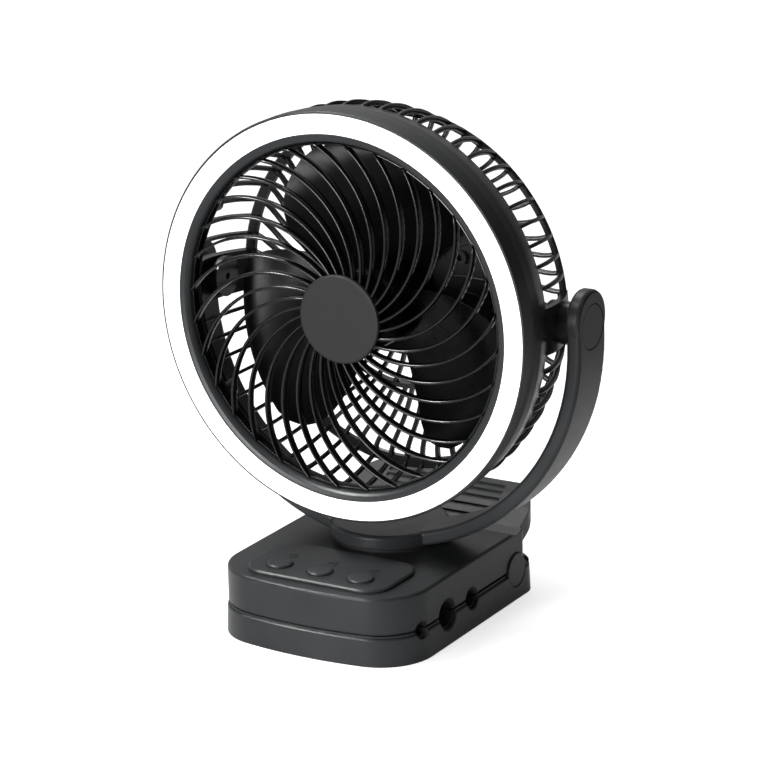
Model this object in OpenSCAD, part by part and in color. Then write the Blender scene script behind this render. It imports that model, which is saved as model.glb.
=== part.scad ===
// Portable camping fan: a round fan head with a lamp ring, held in a U yoke
// that swivels on a spring clamp base. Millimetres. X right, Y back, Z up.
// The origin lies on the table, under the swivel axis of the yoke.

/* [Head] */
// Outer radius of the front ring
ring_r = 95.8; // [80:0.1:120]
// Width of the ring between the air tunnel and its outer edge
ring_w = 14.6; // [12:0.1:20]
// Depth of the smooth front ring
bezel_d = 16.2; // [13:0.1:25]
// Distance of the front face from the tilt axis
face_z = 41.9; // [38:0.1:55]
// Distance of the rear grille behind the tilt axis
back_d = 17.5; // [15:0.1:25]
// Width of the inner lip of the ring, beside the lamp
lip_w = 4.4; // [3:0.1:7]
// Number of lamp chips
chips = 40; // [12:1:60]

/* [Front grille] */
// Number of swept ribs
front_ribs = 32; // [16:1:40]
// Width of each rib
front_rib_w = 1.3; // [1:0.1:2]
// Depth of each rib
front_rib_d = 4; // [3:0.1:6]
// Angle that a rib sweeps between the hub and the ring
front_sweep = 54; // [20:1:70]
// Radius of the centre cap
hub_cap_r = 20.8; // [16:0.1:30]

/* [Rear cage] */
// Number of side ribs, an even number
cage_ribs = 60; // [36:2:66]
// Width of a side rib
side_rib_w = 1.7; // [1.4:0.1:2.4]
// Depth of a side rib, along the radius
side_rib_d = 2.8; // [2.2:0.1:4]
// Width of a rear rib
back_rib_w = 1.9; // [1.4:0.1:2.4]
// How far the cage narrows from the ring to its rear corner
cage_taper = 8.4; // [5:0.1:12]
// Radius of the ring halfway across the rear grille
mid_ring_r = 47.5; // [40:0.1:60]
// Radius of the motor plate and its cover
cover_r = 31; // [26:0.1:36]

/* [Fan] */
// Number of blades
blades = 3; // [2:1:5]
// Gap between the blade tips and the air tunnel
tip_gap = 5.2; // [3:0.1:12]
// Blade thickness
blade_t = 1.8; // [1.2:0.1:3]
// Radius of the motor can
motor_r = 16; // [13:0.1:18]
// Radius of the motor shaft
shaft_r = 1.5; // [1:0.1:2.5]

/* [Yoke] */
// Gap between the front ring and the yoke arms
arm_gap = 4.8; // [3:0.1:10]
// Thickness of the strap
yoke_t = 6.9; // [6:0.1:10]
// Width of the strap
yoke_w = 25.6; // [20:0.1:27]
// Height of the tilt axis above the centre of the arc
arm_rise = 9; // [0:0.1:20]
// Radius of the swivel puck
puck_r = 28; // [22:0.5:34]
// Radius of the tilt axle
axle_r = 6; // [4:0.1:7]

/* [Clamp base] */
// Half width of the upper jaw
upper_hw = 51.6; // [48:0.1:60]
// Height of the platform above the table
deck_z = 32.8; // [31:0.1:41]
// Height of the split between the jaws
split_z = 14.6; // [13.6:0.1:15.6]
// Distance from the swivel axis to the front edge
nose_y = 80.9; // [79:0.1:95]
// Wall thickness of both jaws
wall = 2.4; // [1.8:0.1:3]
// Distance of the jaw hinge behind the swivel axis
hinge_y = 27.8; // [27:0.1:34]
// Radius of the hinge pin
pin_r = 2.5; // [1.5:0.1:3]
// Radius of the front, middle and rear pole grooves
small_groove_r = 3; // [2:0.05:3.5]
// Radius of the largest groove
large_groove_r = 6.1; // [5:0.05:6.5]
// Radius of the rear groove
middle_groove_r = 4; // [3:0.05:4.5]
// Distances of the three grooves from the swivel axis
small_groove_y = 59.3; // [58:0.1:62]
large_groove_y = 37.5; // [36:0.1:39]
middle_groove_y = 14.7; // [13:0.1:16]
// Thickness of the groove liners
pad_t = 1.2; // [0.8:0.1:1.6]

/* [Controls] */
// Radius of the three buttons
button_r = 6.1; // [4:0.1:7.5]
// Distance between the buttons
button_pitch = 21.6; // [17:0.1:23]
// Distance from the swivel axis to the row of buttons
button_y = 61.7; // [59:0.1:63]
// Height of the raised control panel
panel_t = 1.7; // [1:0.1:3]
// Width and length of the control panel
panel_w = 75; // [60:0.5:78]
panel_l = 41; // [32:0.5:44]
// Travel of each button
press = 0.8; // [0.3:0.1:1.2]

/* [Hidden] */
e = 0.05;                             // running clearance
tunnel_r = ring_r - ring_w;
band_z = face_z - bezel_d;            // rear edge of the smooth ring
back_z = -back_d;                     // rear face of the rear grille
lamp_in = tunnel_r + lip_w;
lamp_out = ring_r - 1.2;
lamp_mid = (lamp_in + lamp_out) / 2;
pocket_z = face_z - 8.3;              // floor of the lamp pocket
rib_z = face_z - 2;                   // front edge of the grille ribs
tunnel_z = face_z - 11;               // rear edge of the air tunnel
plate_z = face_z - 2.9;               // front of the hub plate
corner_r = ring_r - cage_taper;
boss_r = ring_r - 6.6;                // circle of the ring screws
blade_r = tunnel_r - tip_gap;
hub_r = motor_r + 4;
motor_z = 4.4;                        // front of the motor can
shaft_z = motor_z + 15.8;             // front end of the shaft
arm_in = ring_r + arm_gap;
yoke_r = arm_in + yoke_t;
foot_gap = 1.7;                       // height of the swivel ring under the puck
yoke_cz = deck_z - 0.8 + yoke_r;
pivot_z = yoke_cz + arm_rise;
arm_end_r = 13.75;
web_t = 2.8;                          // yoke wall behind the pivot washer
cap_t = 1.6;                          // depth of the recess for the pivot cap
stem_r = 7.9;
lower_hw = upper_hw + 0.8;
hinge_z = split_z - 0.2;
lower_rr = 12;                        // rear corner radius of the lower jaw
disc_r = 8.3;                         // discs over the ends of the hinge
nose_r = 200.4;                       // curve of the bowed front edge
corner_rr = 25;                       // front corner radius
upper_back = hinge_y + 10.4;
lower_back = hinge_y + 21.2;
floor_t = 2.2;
roof_z = deck_z - wall;
stem_z = roof_z - 3.9;                // lower end of the swivel stem
grooves = [[-small_groove_y, small_groove_r], [-large_groove_y, large_groove_r], [-middle_groove_y, middle_groove_r]];
buttons_at = [for (k = [-1:1]) [k * button_pitch - 0.8, -button_y]];
board_z = deck_z - 8.6;
plate_at = [for (s = [-1, 1]) each [[s * (upper_hw - 12.2), 13.2 - nose_y], [s * (upper_hw - 7), 12]]];
base_at = [for (s = [-1, 1]) each [[s * (upper_hw - 15), -68], [s * (upper_hw - 8.5), 8]]];
foot_at = [for (s = [-1, 1]) each [[s * (upper_hw - 8), -53], [s * (upper_hw - 9), hinge_y + 10]]];
ring_screws = [for (k = [0:5]) 33 + 60 * k];
// blade edges by share of the tip radius: angle and depth, rear edge and front edge
rear_a = [[0.24, 160], [0.49, 162], [0.68, 163.5], [0.79, 165], [0.87, 167], [0.95, 170], [1, 177]];
rear_d = [[0.24, -9.5], [0.49, -9.5], [0.68, -8], [0.79, -4], [0.87, -1], [0.95, 1], [1, 1.5]];
front_a = [[0.24, 266], [0.51, 260], [0.63, 256], [0.71, 253], [0.79, 249], [0.88, 243], [0.96, 236], [1, 229]];
front_d = [[0.24, 15], [0.51, 21.5], [0.63, 25], [0.71, 25.5], [0.79, 25], [0.88, 22.5], [0.96, 19.5], [1, 16.5]];
// top and underside of the grip tail, from the hinge and the deck
tail_top = [[1.7, -2], [7.7, 0], [15.8, 4.5], [18.8, 6.2], [24.2, 9.9], [29.2, 13.9]];
tail_under = [[29.7, 13.1], [29.6, 10.5], [28.4, 7.1], [23.7, 1.3], [17.6, -3.6], [10.4, -7.4], [6.2, -9.5], [1.7, -9.5]];
$fn = 96;

// ---- helpers ----

// local x right, y up, z toward the front, origin on the tilt axis
module head() translate([0, 0, pivot_z]) rotate([90, 0, 0]) children();

module around(n, a0 = 0) for (k = [0:n - 1]) rotate([0, 0, a0 + 360 * k / n]) children();

module ring(r1, r2, z1, z2) translate([0, 0, z1]) linear_extrude(z2 - z1)
  difference() { circle(r = r2, $fn = 180); circle(r = r1, $fn = 180); }

module at(list) for (p = list) translate([p[0], p[1], 0]) children();

module slab(z1, z2) translate([0, 0, z1]) linear_extrude(z2 - z1) children();

// runs a side view (y, z) across the width
module across(hw) translate([-hw, 0, 0]) rotate([90, 0, 90]) linear_extrude(2 * hw) children();

// rod along X, centred
module bar_x(y, z, r, l) translate([-l / 2, y, z]) rotate([0, 90, 0]) cylinder(r = r, h = l);

// both sides of the tilt axis, local z pointing outwards from x = d
module both_ends(d) for (a = [0, 180]) rotate([0, 0, a]) translate([d, 0, 0]) rotate([0, 90, 0]) children();

// rounded rectangle, corner at the origin
module rrect(w, h, r) {
  translate([r, 0]) square([w - 2 * r, h]);
  translate([0, r]) square([w, h - 2 * r]);
  for (x = [r, w - r], y = [r, h - r]) translate([x, y]) circle(r = r, $fn = 48);
}

function polar(p) = [p[0] * cos(p[1]), p[0] * sin(p[1])];

// centre of the circle through three points
function centre(a, b, c) = let (
    d = 2 * (a[0] * (b[1] - c[1]) + b[0] * (c[1] - a[1]) + c[0] * (a[1] - b[1])))
  [((a * a) * (b[1] - c[1]) + (b * b) * (c[1] - a[1]) + (c * c) * (a[1] - b[1])) / d,
   ((a * a) * (c[0] - b[0]) + (b * b) * (a[0] - c[0]) + (c * c) * (b[0] - a[0])) / d];

// sweeps its flat section counter-clockwise along the arc through three points (radius, angle)
module arc_bar(pa, pb, pc) {
  a = polar(pa);
  c = polar(pc);
  m = centre(a, polar(pb), c);
  a0 = atan2(a[1] - m[1], a[0] - m[0]);
  a1 = atan2(c[1] - m[1], c[0] - m[0]);
  translate([m[0], m[1], 0]) rotate([0, 0, a0])
    rotate_extrude(angle = a1 > a0 ? a1 - a0 : a1 - a0 + 360, $fn = 180)
      translate([norm(a - m), 0]) children();
}

// rib section: flat back, front edges broken
module rib_section(w, d, z) translate([0, z]) polygon([[-w * 0.32, 0], [w * 0.32, 0],
  [w / 2, d * 0.2], [w / 2, d - w * 0.36], [w * 0.24, d], [-w * 0.24, d], [-w / 2, d - w * 0.36],
  [-w / 2, d * 0.2]]);

// outline of the base: bowed nose, round front corners, straight sides
module plan(hw, back, rr, g = 0) {
  cy = nose_r - nose_y;
  cx = hw - corner_rr;
  ky = cy - sqrt(pow(nose_r - corner_rr, 2) - cx * cx);
  tx = cx * nose_r / (nose_r - corner_rr);
  intersection() {
    translate([0, cy]) circle(r = nose_r + g, $fn = 360);
    polygon([[0, cy], [tx * 1.5, cy - sqrt(nose_r * nose_r - tx * tx) * 1.5],
      [-tx * 1.5, cy - sqrt(nose_r * nose_r - tx * tx) * 1.5]]);
    translate([-hw, -nose_y - 20]) square([2 * hw, nose_y + 20 + back - rr]);
  }
  for (s = [-1, 1]) {
    translate([s * cx, ky]) circle(r = corner_rr + g);
    translate([s * (hw - rr), back - rr]) circle(r = rr + g, $fn = 48);
  }
  translate([-hw - g, ky]) square([2 * (hw + g), back - rr - ky]);
  translate([-(hw - rr), 0]) square([2 * (hw - rr), back + g]);
}

// screw with a cross recess; the head top is at z = 0 and the shank runs to -z
module screw(r, hr, hh, l) difference() {
  union() {
    translate([0, 0, -hh]) cylinder(r = hr, h = hh);
    translate([0, 0, -hh - l]) cylinder(r = r, h = l + 0.01);
  }
  translate([0, 0, -hh * 0.55]) for (a = [0, 90]) rotate([0, 0, a])
    translate([-hr * 0.6, -hr * 0.13, 0]) cube([hr * 1.2, hr * 0.26, hh]);
}

module screw_up(z, r, hr, hh, l) translate([0, 0, z]) rotate([180, 0, 0]) screw(r, hr, hh, l);

// ---- head ----

module front_bezel() {
  color("#26282a") head() difference() {
    union() {
      rotate_extrude($fn = 180)
        polygon([[tunnel_r, tunnel_z], [boss_r + 2.9, tunnel_z], [boss_r + 3.2, tunnel_z - 0.3],
          [boss_r + 3.2, band_z], [ring_r - 0.6, band_z], [ring_r, band_z + 7.3],
          [ring_r, face_z - 0.8], [ring_r - 0.3, face_z - 0.3], [lamp_out, face_z - 0.25],
          [lamp_out, pocket_z], [lamp_in, pocket_z], [lamp_in, face_z],
          [lamp_in - lip_w * 0.2, face_z - 0.1], [lamp_in - lip_w * 0.55, face_z - 0.55],
          [lamp_in - lip_w * 0.8, face_z - 1.4], [lamp_in - lip_w * 0.94, face_z - 2.5],
          [tunnel_r, face_z - 3.9]]);
      for (a = ring_screws) rotate([0, 0, a]) translate([boss_r, 0, band_z])
        cylinder(r = 3.5, h = pocket_z - 2 - band_z);
    }
    for (a = ring_screws) rotate([0, 0, a]) translate([boss_r, 0, band_z - 1])
      cylinder(r = 1.2, h = pocket_z - 1.8 - band_z);
  }
}

module led_diffuser() {
  color("#ffffff") head() difference() {
    ring(lamp_in + e, lamp_out - e, pocket_z + 1.7, face_z);
    ring(lamp_in + 1.25, lamp_out - 1.25, pocket_z, face_z - 1.6);
  }
}

module led_board() {
  color("#e8ebe6") head() ring(lamp_in + 0.4, lamp_out - 0.45, pocket_z, pocket_z + 1.7);
}

module led_chips() {
  color("#f4e58c") head() around(chips, 180 / chips)
    translate([lamp_mid - 1.7, -1.4, pocket_z + 1.7]) cube([3.4, 2.8, 0.9]);
}

module front_grille() {
  color("#1d1f20") head() {
    difference() {
      intersection() {
        around(front_ribs, 0.75) arc_bar([hub_cap_r - 2, 0], [hub_cap_r + 29.2, front_sweep * 0.49],
          [tunnel_r + 0.8, front_sweep]) rib_section(front_rib_w, front_rib_d, rib_z - front_rib_d);
        cylinder(r = tunnel_r - 0.6, h = face_z);
      }
      translate([0, 0, plate_z]) cylinder(r = hub_cap_r + e, h = 5);
    }
    rotate_extrude($fn = 180) polygon([[tunnel_r - 1.3, rib_z - front_rib_d - 1.7],
      [tunnel_r, rib_z - front_rib_d - 1.7], [tunnel_r, face_z - 3.9], [tunnel_r - 0.5, rib_z - 1.3],
      [tunnel_r - 1.1, rib_z - 1.3], [tunnel_r - 1.3, rib_z - 1.7]]);
    translate([0, 0, plate_z - 3.6]) cylinder(r = hub_cap_r - 0.5, h = 3.6);
  }
}

module hub_cap() {
  color("#3b3c3d") head() translate([0, 0, plate_z]) rotate_extrude($fn = 120)
    polygon([[0, 0], [hub_cap_r, 0], [hub_cap_r, 1.1], [hub_cap_r - 0.35, 1.65], [hub_cap_r - 1, 1.8],
      [0, 1.8]]);
}

// half section of the cage side: share of the depth, share of the taper
side_curve = [[1, 0.9], [0.903, 1], [0.736, 1.014], [0.542, 0.87], [0.319, 0.565], [0.139, 0.116]];
function side_point(p, g) = [corner_r + p[1] * (cage_taper - 1.5) + g,
  back_z + p[0] * (band_z - 7.2 - back_z)];
function side_section(g = 0) = concat(
  [for (p = side_curve) side_point(p, g)],
  [[corner_r - 0.7 + g, back_z + 3.3], [corner_r - 2.9, back_z + 1.1], [corner_r - 5.6, back_z + 0.25],
    [corner_r - 6.4, back_z + 1.5], [corner_r - 5.2, back_z + 3.2], [corner_r - 3.3, back_z + 4.4],
    [corner_r - 2.4, back_z + 6]],
  [for (k = [len(side_curve) - 2:-1:0]) side_point(side_curve[k], -side_rib_d - g)]);

module rear_cage() {
  r0 = corner_r - 4.6;
  slant = 0.368;                      // degrees of slant for each millimetre inward
  color("#1f2123") head() difference() {
    union() {
      // front ring with its screw bosses
      rotate_extrude($fn = 180) polygon([[boss_r + 1.2, band_z - 8.7], [boss_r + 2.7, band_z - 2],
        [boss_r + 2.8, band_z], [ring_r - 0.6, band_z], [ring_r - 1.7, band_z - 7.7],
        [ring_r - 2.2, band_z - 8.7]]);
      for (a = ring_screws) rotate([0, 0, a]) translate([boss_r, 0, band_z - 8.45]) cylinder(r = 3.8, h = 8.35);
      // side ribs, left out where the solid lugs carry the pivots
      for (k = [0:cage_ribs - 1]) if (abs(sin(360 * k / cage_ribs)) > 0.15)
        rotate([0, 0, 360 * k / cage_ribs]) rotate([90, 0, 0]) translate([0, 0, -side_rib_w / 2])
          linear_extrude(side_rib_w) polygon(side_section());
      for (a = [0, 180]) rotate([0, 0, a - 6.6]) rotate_extrude(angle = 13.2, $fn = 180)
        polygon(side_section(0.35));
      // rear corner ring, ring halfway, motor plate, plate of the wire channel with its screw boss
      rotate_extrude($fn = 180) polygon([[corner_r - 6.9, back_z + 0.6], [corner_r - 4.1, back_z + 0.7],
        [corner_r - 3.5, back_z + 1.9], [corner_r - 3.7, back_z + 4.3], [corner_r - 6.7, back_z + 4.9],
        [corner_r - 7.3, back_z + 3.9]]);
      rotate([0, 0, -24]) rotate_extrude(angle = 84, $fn = 180) translate([cover_r - 2, back_z + 0.35])
        square([mid_ring_r + 7.6 - cover_r, 2.3]);
      rotate([0, 0, 31]) translate([mid_ring_r - 8.9, 0, back_z + 1]) cylinder(r = 3.4, h = 4.6);
      ring(mid_ring_r - 2.3, mid_ring_r, back_z - 0.4, back_z + 3.4);
      translate([0, 0, back_z]) cylinder(r = cover_r, h = 3);
      // slanted rear ribs, every second one runs on to the motor plate
      for (k = [0:cage_ribs - 1]) {
        r1 = k % 2 == 0 ? cover_r - 2 : mid_ring_r - 1.2;
        rotate([0, 0, 360 * k / cage_ribs])
          arc_bar([r0 + 0.6, 0], [(r0 + r1) / 2, slant * (r0 - r1) / 2 * 0.8], [r1, slant * (r0 - r1)])
            translate([0, back_z]) polygon([[0.3 - back_rib_w / 2, 0.08], [back_rib_w / 2 - 0.3, 0.08],
              [back_rib_w / 2, 0.5], [back_rib_w / 2, 3], [-back_rib_w / 2, 3], [-back_rib_w / 2, 0.5]]);
      }
      // pivot bosses and axles
      both_ends(ring_r - 9.3) cylinder(r = 9.75, h = arm_gap + 9.3 - 0.85);
      both_ends(arm_in - 2) cylinder(r = axle_r, h = 2 + web_t + e);
    }
    both_ends(ring_r - 7.8) cylinder(r = 1.65, h = arm_gap + 20);
    for (a = ring_screws) rotate([0, 0, a]) translate([boss_r, 0, band_z - 16]) {
      cylinder(r = 2.9, h = 9.7);
      cylinder(r = 1.4, h = 20);
    }
    around(3, 90) translate([motor_r * 0.69, 0, back_z - 1]) cylinder(r = 1.6, h = 6);
    rotate([0, 0, 31]) translate([mid_ring_r - 8.9, 0, back_z + 2]) cylinder(r = 1.5, h = 6);
    translate([0, 0, back_z - 1]) cylinder(r = 4.2, h = 6);
  }
}

module cage_screws() {
  color("#8d9092") head() for (a = ring_screws) rotate([0, 0, a]) translate([boss_r, 0, 0])
    screw_up(band_z - 8.1, 1.15, 2.5, 1.8, 6.3 + min(pocket_z - 2.6 - band_z, 2.8));
}

module motor() {
  color("#a9adb0") head() difference() {
    rotate_extrude($fn = 120) polygon([[0, back_z + 3], [motor_r - 0.5, back_z + 3],
      [motor_r, back_z + 3.5], [motor_r, motor_z - 1], [motor_r - 0.8, motor_z], [5, motor_z],
      [5, motor_z + 1.8], [0, motor_z + 1.8]]);
    translate([0, 0, back_z]) cylinder(r = shaft_r + e, h = 60);
    around(3, 90) translate([motor_r * 0.69, 0, back_z]) cylinder(r = 1.3, h = 8);
  }
}

module motor_screws() {
  color("#8d9092") head() around(3, 90) translate([motor_r * 0.69, 0, 0])
    screw_up(back_z - 1.6, 1.25, 2.6, 1.6, 7);
}

module motor_cover() {
  color("#1f2123") head() translate([0, 0, back_z]) rotate_extrude($fn = 120) difference() {
    polygon([[0, 0], [cover_r, 0], [cover_r, -1.6], [cover_r - 1, -3], [cover_r - 4, -4.4],
      [cover_r - 10, -5.6], [cover_r - 18, -6.3], [0, -6.5]]);
    polygon([[-1, 1], [cover_r - 2.2, 1], [cover_r - 2.4, -1.6], [cover_r - 11, -3.6],
      [cover_r - 18, -4.3], [-1, -4.5]]);
  }
}

function blade_point(r, u, side) =
  let (f = r / blade_r, a0 = lookup(f, rear_a), a1 = lookup(f, front_a),
    d0 = lookup(f, rear_d), d1 = lookup(f, front_d),
    d = d0 + (d1 - d0) * pow(u, 1.25),
    t = blade_t * (0.35 + 0.65 * sin(180 * min(1, u * 0.9 + 0.12))) * (1.15 - 0.35 * f))
  [r * cos(a0 + (a1 - a0) * u), r * sin(a0 + (a1 - a0) * u), d + side * t / 2];

// one swept blade, a closed skin over a grid of radii and chord steps
module blade() {
  inner = hub_r - 1.6;
  radii = concat([for (f = [0, 0.11, 0.22, 0.34, 0.46, 0.56, 0.66, 0.75, 0.83, 0.9]) inner + f * (blade_r - inner)],
    [blade_r - 2.6, blade_r - 0.7, blade_r]);
  nu = 14;
  m = len(radii);
  w = nu + 1;
  o = m * w;
  polyhedron(points = [for (s = [1, -1], r = radii, j = [0:nu]) blade_point(r, j / nu, s)],
    faces = concat(
      [for (i = [0:m - 2], j = [0:nu - 1]) each [
        [i * w + j, i * w + j + 1, (i + 1) * w + j + 1], [i * w + j, (i + 1) * w + j + 1, (i + 1) * w + j],
        [o + i * w + j, o + (i + 1) * w + j + 1, o + i * w + j + 1],
        [o + i * w + j, o + (i + 1) * w + j, o + (i + 1) * w + j + 1]]],
      [for (j = [0:nu - 1]) each [
        [j, o + j, o + j + 1], [j, o + j + 1, j + 1],
        [(m - 1) * w + j, o + (m - 1) * w + j + 1, o + (m - 1) * w + j],
        [(m - 1) * w + j, (m - 1) * w + j + 1, o + (m - 1) * w + j + 1]]],
      [for (i = [0:m - 2]) each [
        [i * w, o + (i + 1) * w, o + i * w], [i * w, (i + 1) * w, o + (i + 1) * w],
        [i * w + nu, o + i * w + nu, o + (i + 1) * w + nu],
        [i * w + nu, o + (i + 1) * w + nu, (i + 1) * w + nu]]]));
}

module impeller() {
  front = shaft_z + 0.8;
  color("#17191a") head() {
    difference() {
      rotate_extrude($fn = 120) polygon([[0, front], [hub_r - 6, front], [hub_r - 2.5, front - 1],
        [hub_r - 0.6, front - 3.2], [hub_r, front - 6.5], [hub_r, back_z + 6], [hub_r - 2, back_z + 6],
        [hub_r - 2, front - 9.2], [hub_r - 3, front - 8.2], [4.5, front - 7.8], [4.5, motor_z + 3.6],
        [0, motor_z + 3.6]]);
      cylinder(r = shaft_r, h = 60);
      translate([0, 0, front - 4]) cylinder(r = 3.6, h = 10);
    }
    around(blades) difference() {
      blade();
      translate([0, 0, -30]) cylinder(r = hub_r - 0.8, h = 60);
    }
  }
}

module motor_shaft() {
  color("#c6c9cb") head() translate([0, 0, back_z + 3.4]) cylinder(r = shaft_r, h = shaft_z - back_z - 3.4);
}

module impeller_nut() {
  color("#8d9092") head() translate([0, 0, shaft_z - 3.2]) difference() {
    cylinder(r = 3.3, h = 2.6, $fn = 6);
    translate([0, 0, -1]) cylinder(r = shaft_r, h = 5);
  }
}

// ---- yoke ----

module yoke() {
  z0 = deck_z + foot_gap;             // underside of the puck
  color("#2b2d2f") difference() {
    union() {
      translate([0, 0, yoke_cz]) rotate([90, 0, 0]) rotate([0, 0, 180])
        rotate_extrude(angle = 180, $fn = 240) translate([arm_in, -yoke_w / 2]) rrect(yoke_t, yoke_w, 1.8);
      for (a = [0, 180]) rotate([0, 0, a]) {
        translate([arm_in, -yoke_w / 2, yoke_cz]) linear_extrude(arm_rise + 3) rrect(yoke_t, yoke_w, 1.8);
        translate([arm_in, 0, pivot_z + 3]) rotate([0, 90, 0])
          rotate_extrude($fn = 120) polygon([[0, 0], [arm_end_r - 1.35, 0], [arm_end_r - 0.45, 0.5],
            [arm_end_r, 1.4], [arm_end_r, yoke_t - 1.7], [arm_end_r - 0.55, yoke_t - 0.5],
            [arm_end_r - 1.55, yoke_t], [0, yoke_t]]);
      }
      translate([0, 0, z0]) rotate_extrude($fn = 120) polygon([[0, 0], [puck_r - 0.5, 0], [puck_r, 0.6],
        [puck_r, 5.4], [puck_r - 0.6, 6.3], [puck_r - 1.8, 6.8], [0, 6.8]]);
    }
    translate([-puck_r - 20, -puck_r - 20, z0 - 20]) cube([2 * puck_r + 40, 2 * puck_r + 40, 20]);
    translate([0, 0, pivot_z]) {
      both_ends(arm_in - 5) cylinder(r = axle_r + e, h = 30);
      both_ends(arm_in + web_t) cylinder(r = 8.6, h = 30);
      both_ends(yoke_r - cap_t) cylinder(r = 10.5, h = 30);
    }
    translate([0, 0, stem_z - 1]) cylinder(r = 1.9, h = 12);
  }
  color("#2b2d2f") difference() {
    translate([0, 0, stem_z]) cylinder(r = stem_r, h = z0 + 0.2 - stem_z);
    translate([0, 0, stem_z - 1]) cylinder(r = 1.9, h = 12);
  }
}

module friction_washers() {
  color("#0f1011") translate([0, 0, pivot_z]) both_ends(arm_in - 0.85) difference() {
    cylinder(r = 9.4, h = 0.8);
    translate([0, 0, -1]) cylinder(r = axle_r + 0.1, h = 3);
  }
}

module pivot_washers() {
  color("#9a9da0") translate([0, 0, pivot_z]) both_ends(arm_in + web_t + e) difference() {
    cylinder(r = 8.2, h = 0.8);
    translate([0, 0, -1]) cylinder(r = 1.7, h = 3);
  }
}

module pivot_screws() {
  color("#8d9092") translate([0, 0, pivot_z]) both_ends(arm_in + web_t + 0.85 + 1.5) screw(1.6, 4, 1.5, 12);
}

module pivot_caps() {
  color("#2b2d2f") translate([0, 0, pivot_z]) both_ends(yoke_r - cap_t)
    rotate_extrude($fn = 96) polygon([[0, 0], [10.3, 0], [10.3, 1.2], [10.05, 1.5], [0, 1.5]]);
}

module swivel_retainer() {
  color("#9a9da0") translate([0, 0, stem_z - 1.3]) difference() {
    cylinder(r = 11, h = 1.3);
    translate([0, 0, -1]) cylinder(r = 2, h = 4);
  }
}

module swivel_screw() {
  color("#8d9092") screw_up(stem_z - 3, 1.85, 4.2, 1.7, 8);
}

module swivel_ring() {
  color("#121314") ring(stem_r + 0.6, puck_r - 1.4, deck_z, deck_z + foot_gap - 0.1);
}

// ---- upper jaw ----

function from_hinge(list) = [for (p = list) [hinge_y + p[0], deck_z + p[1]]];

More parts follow.
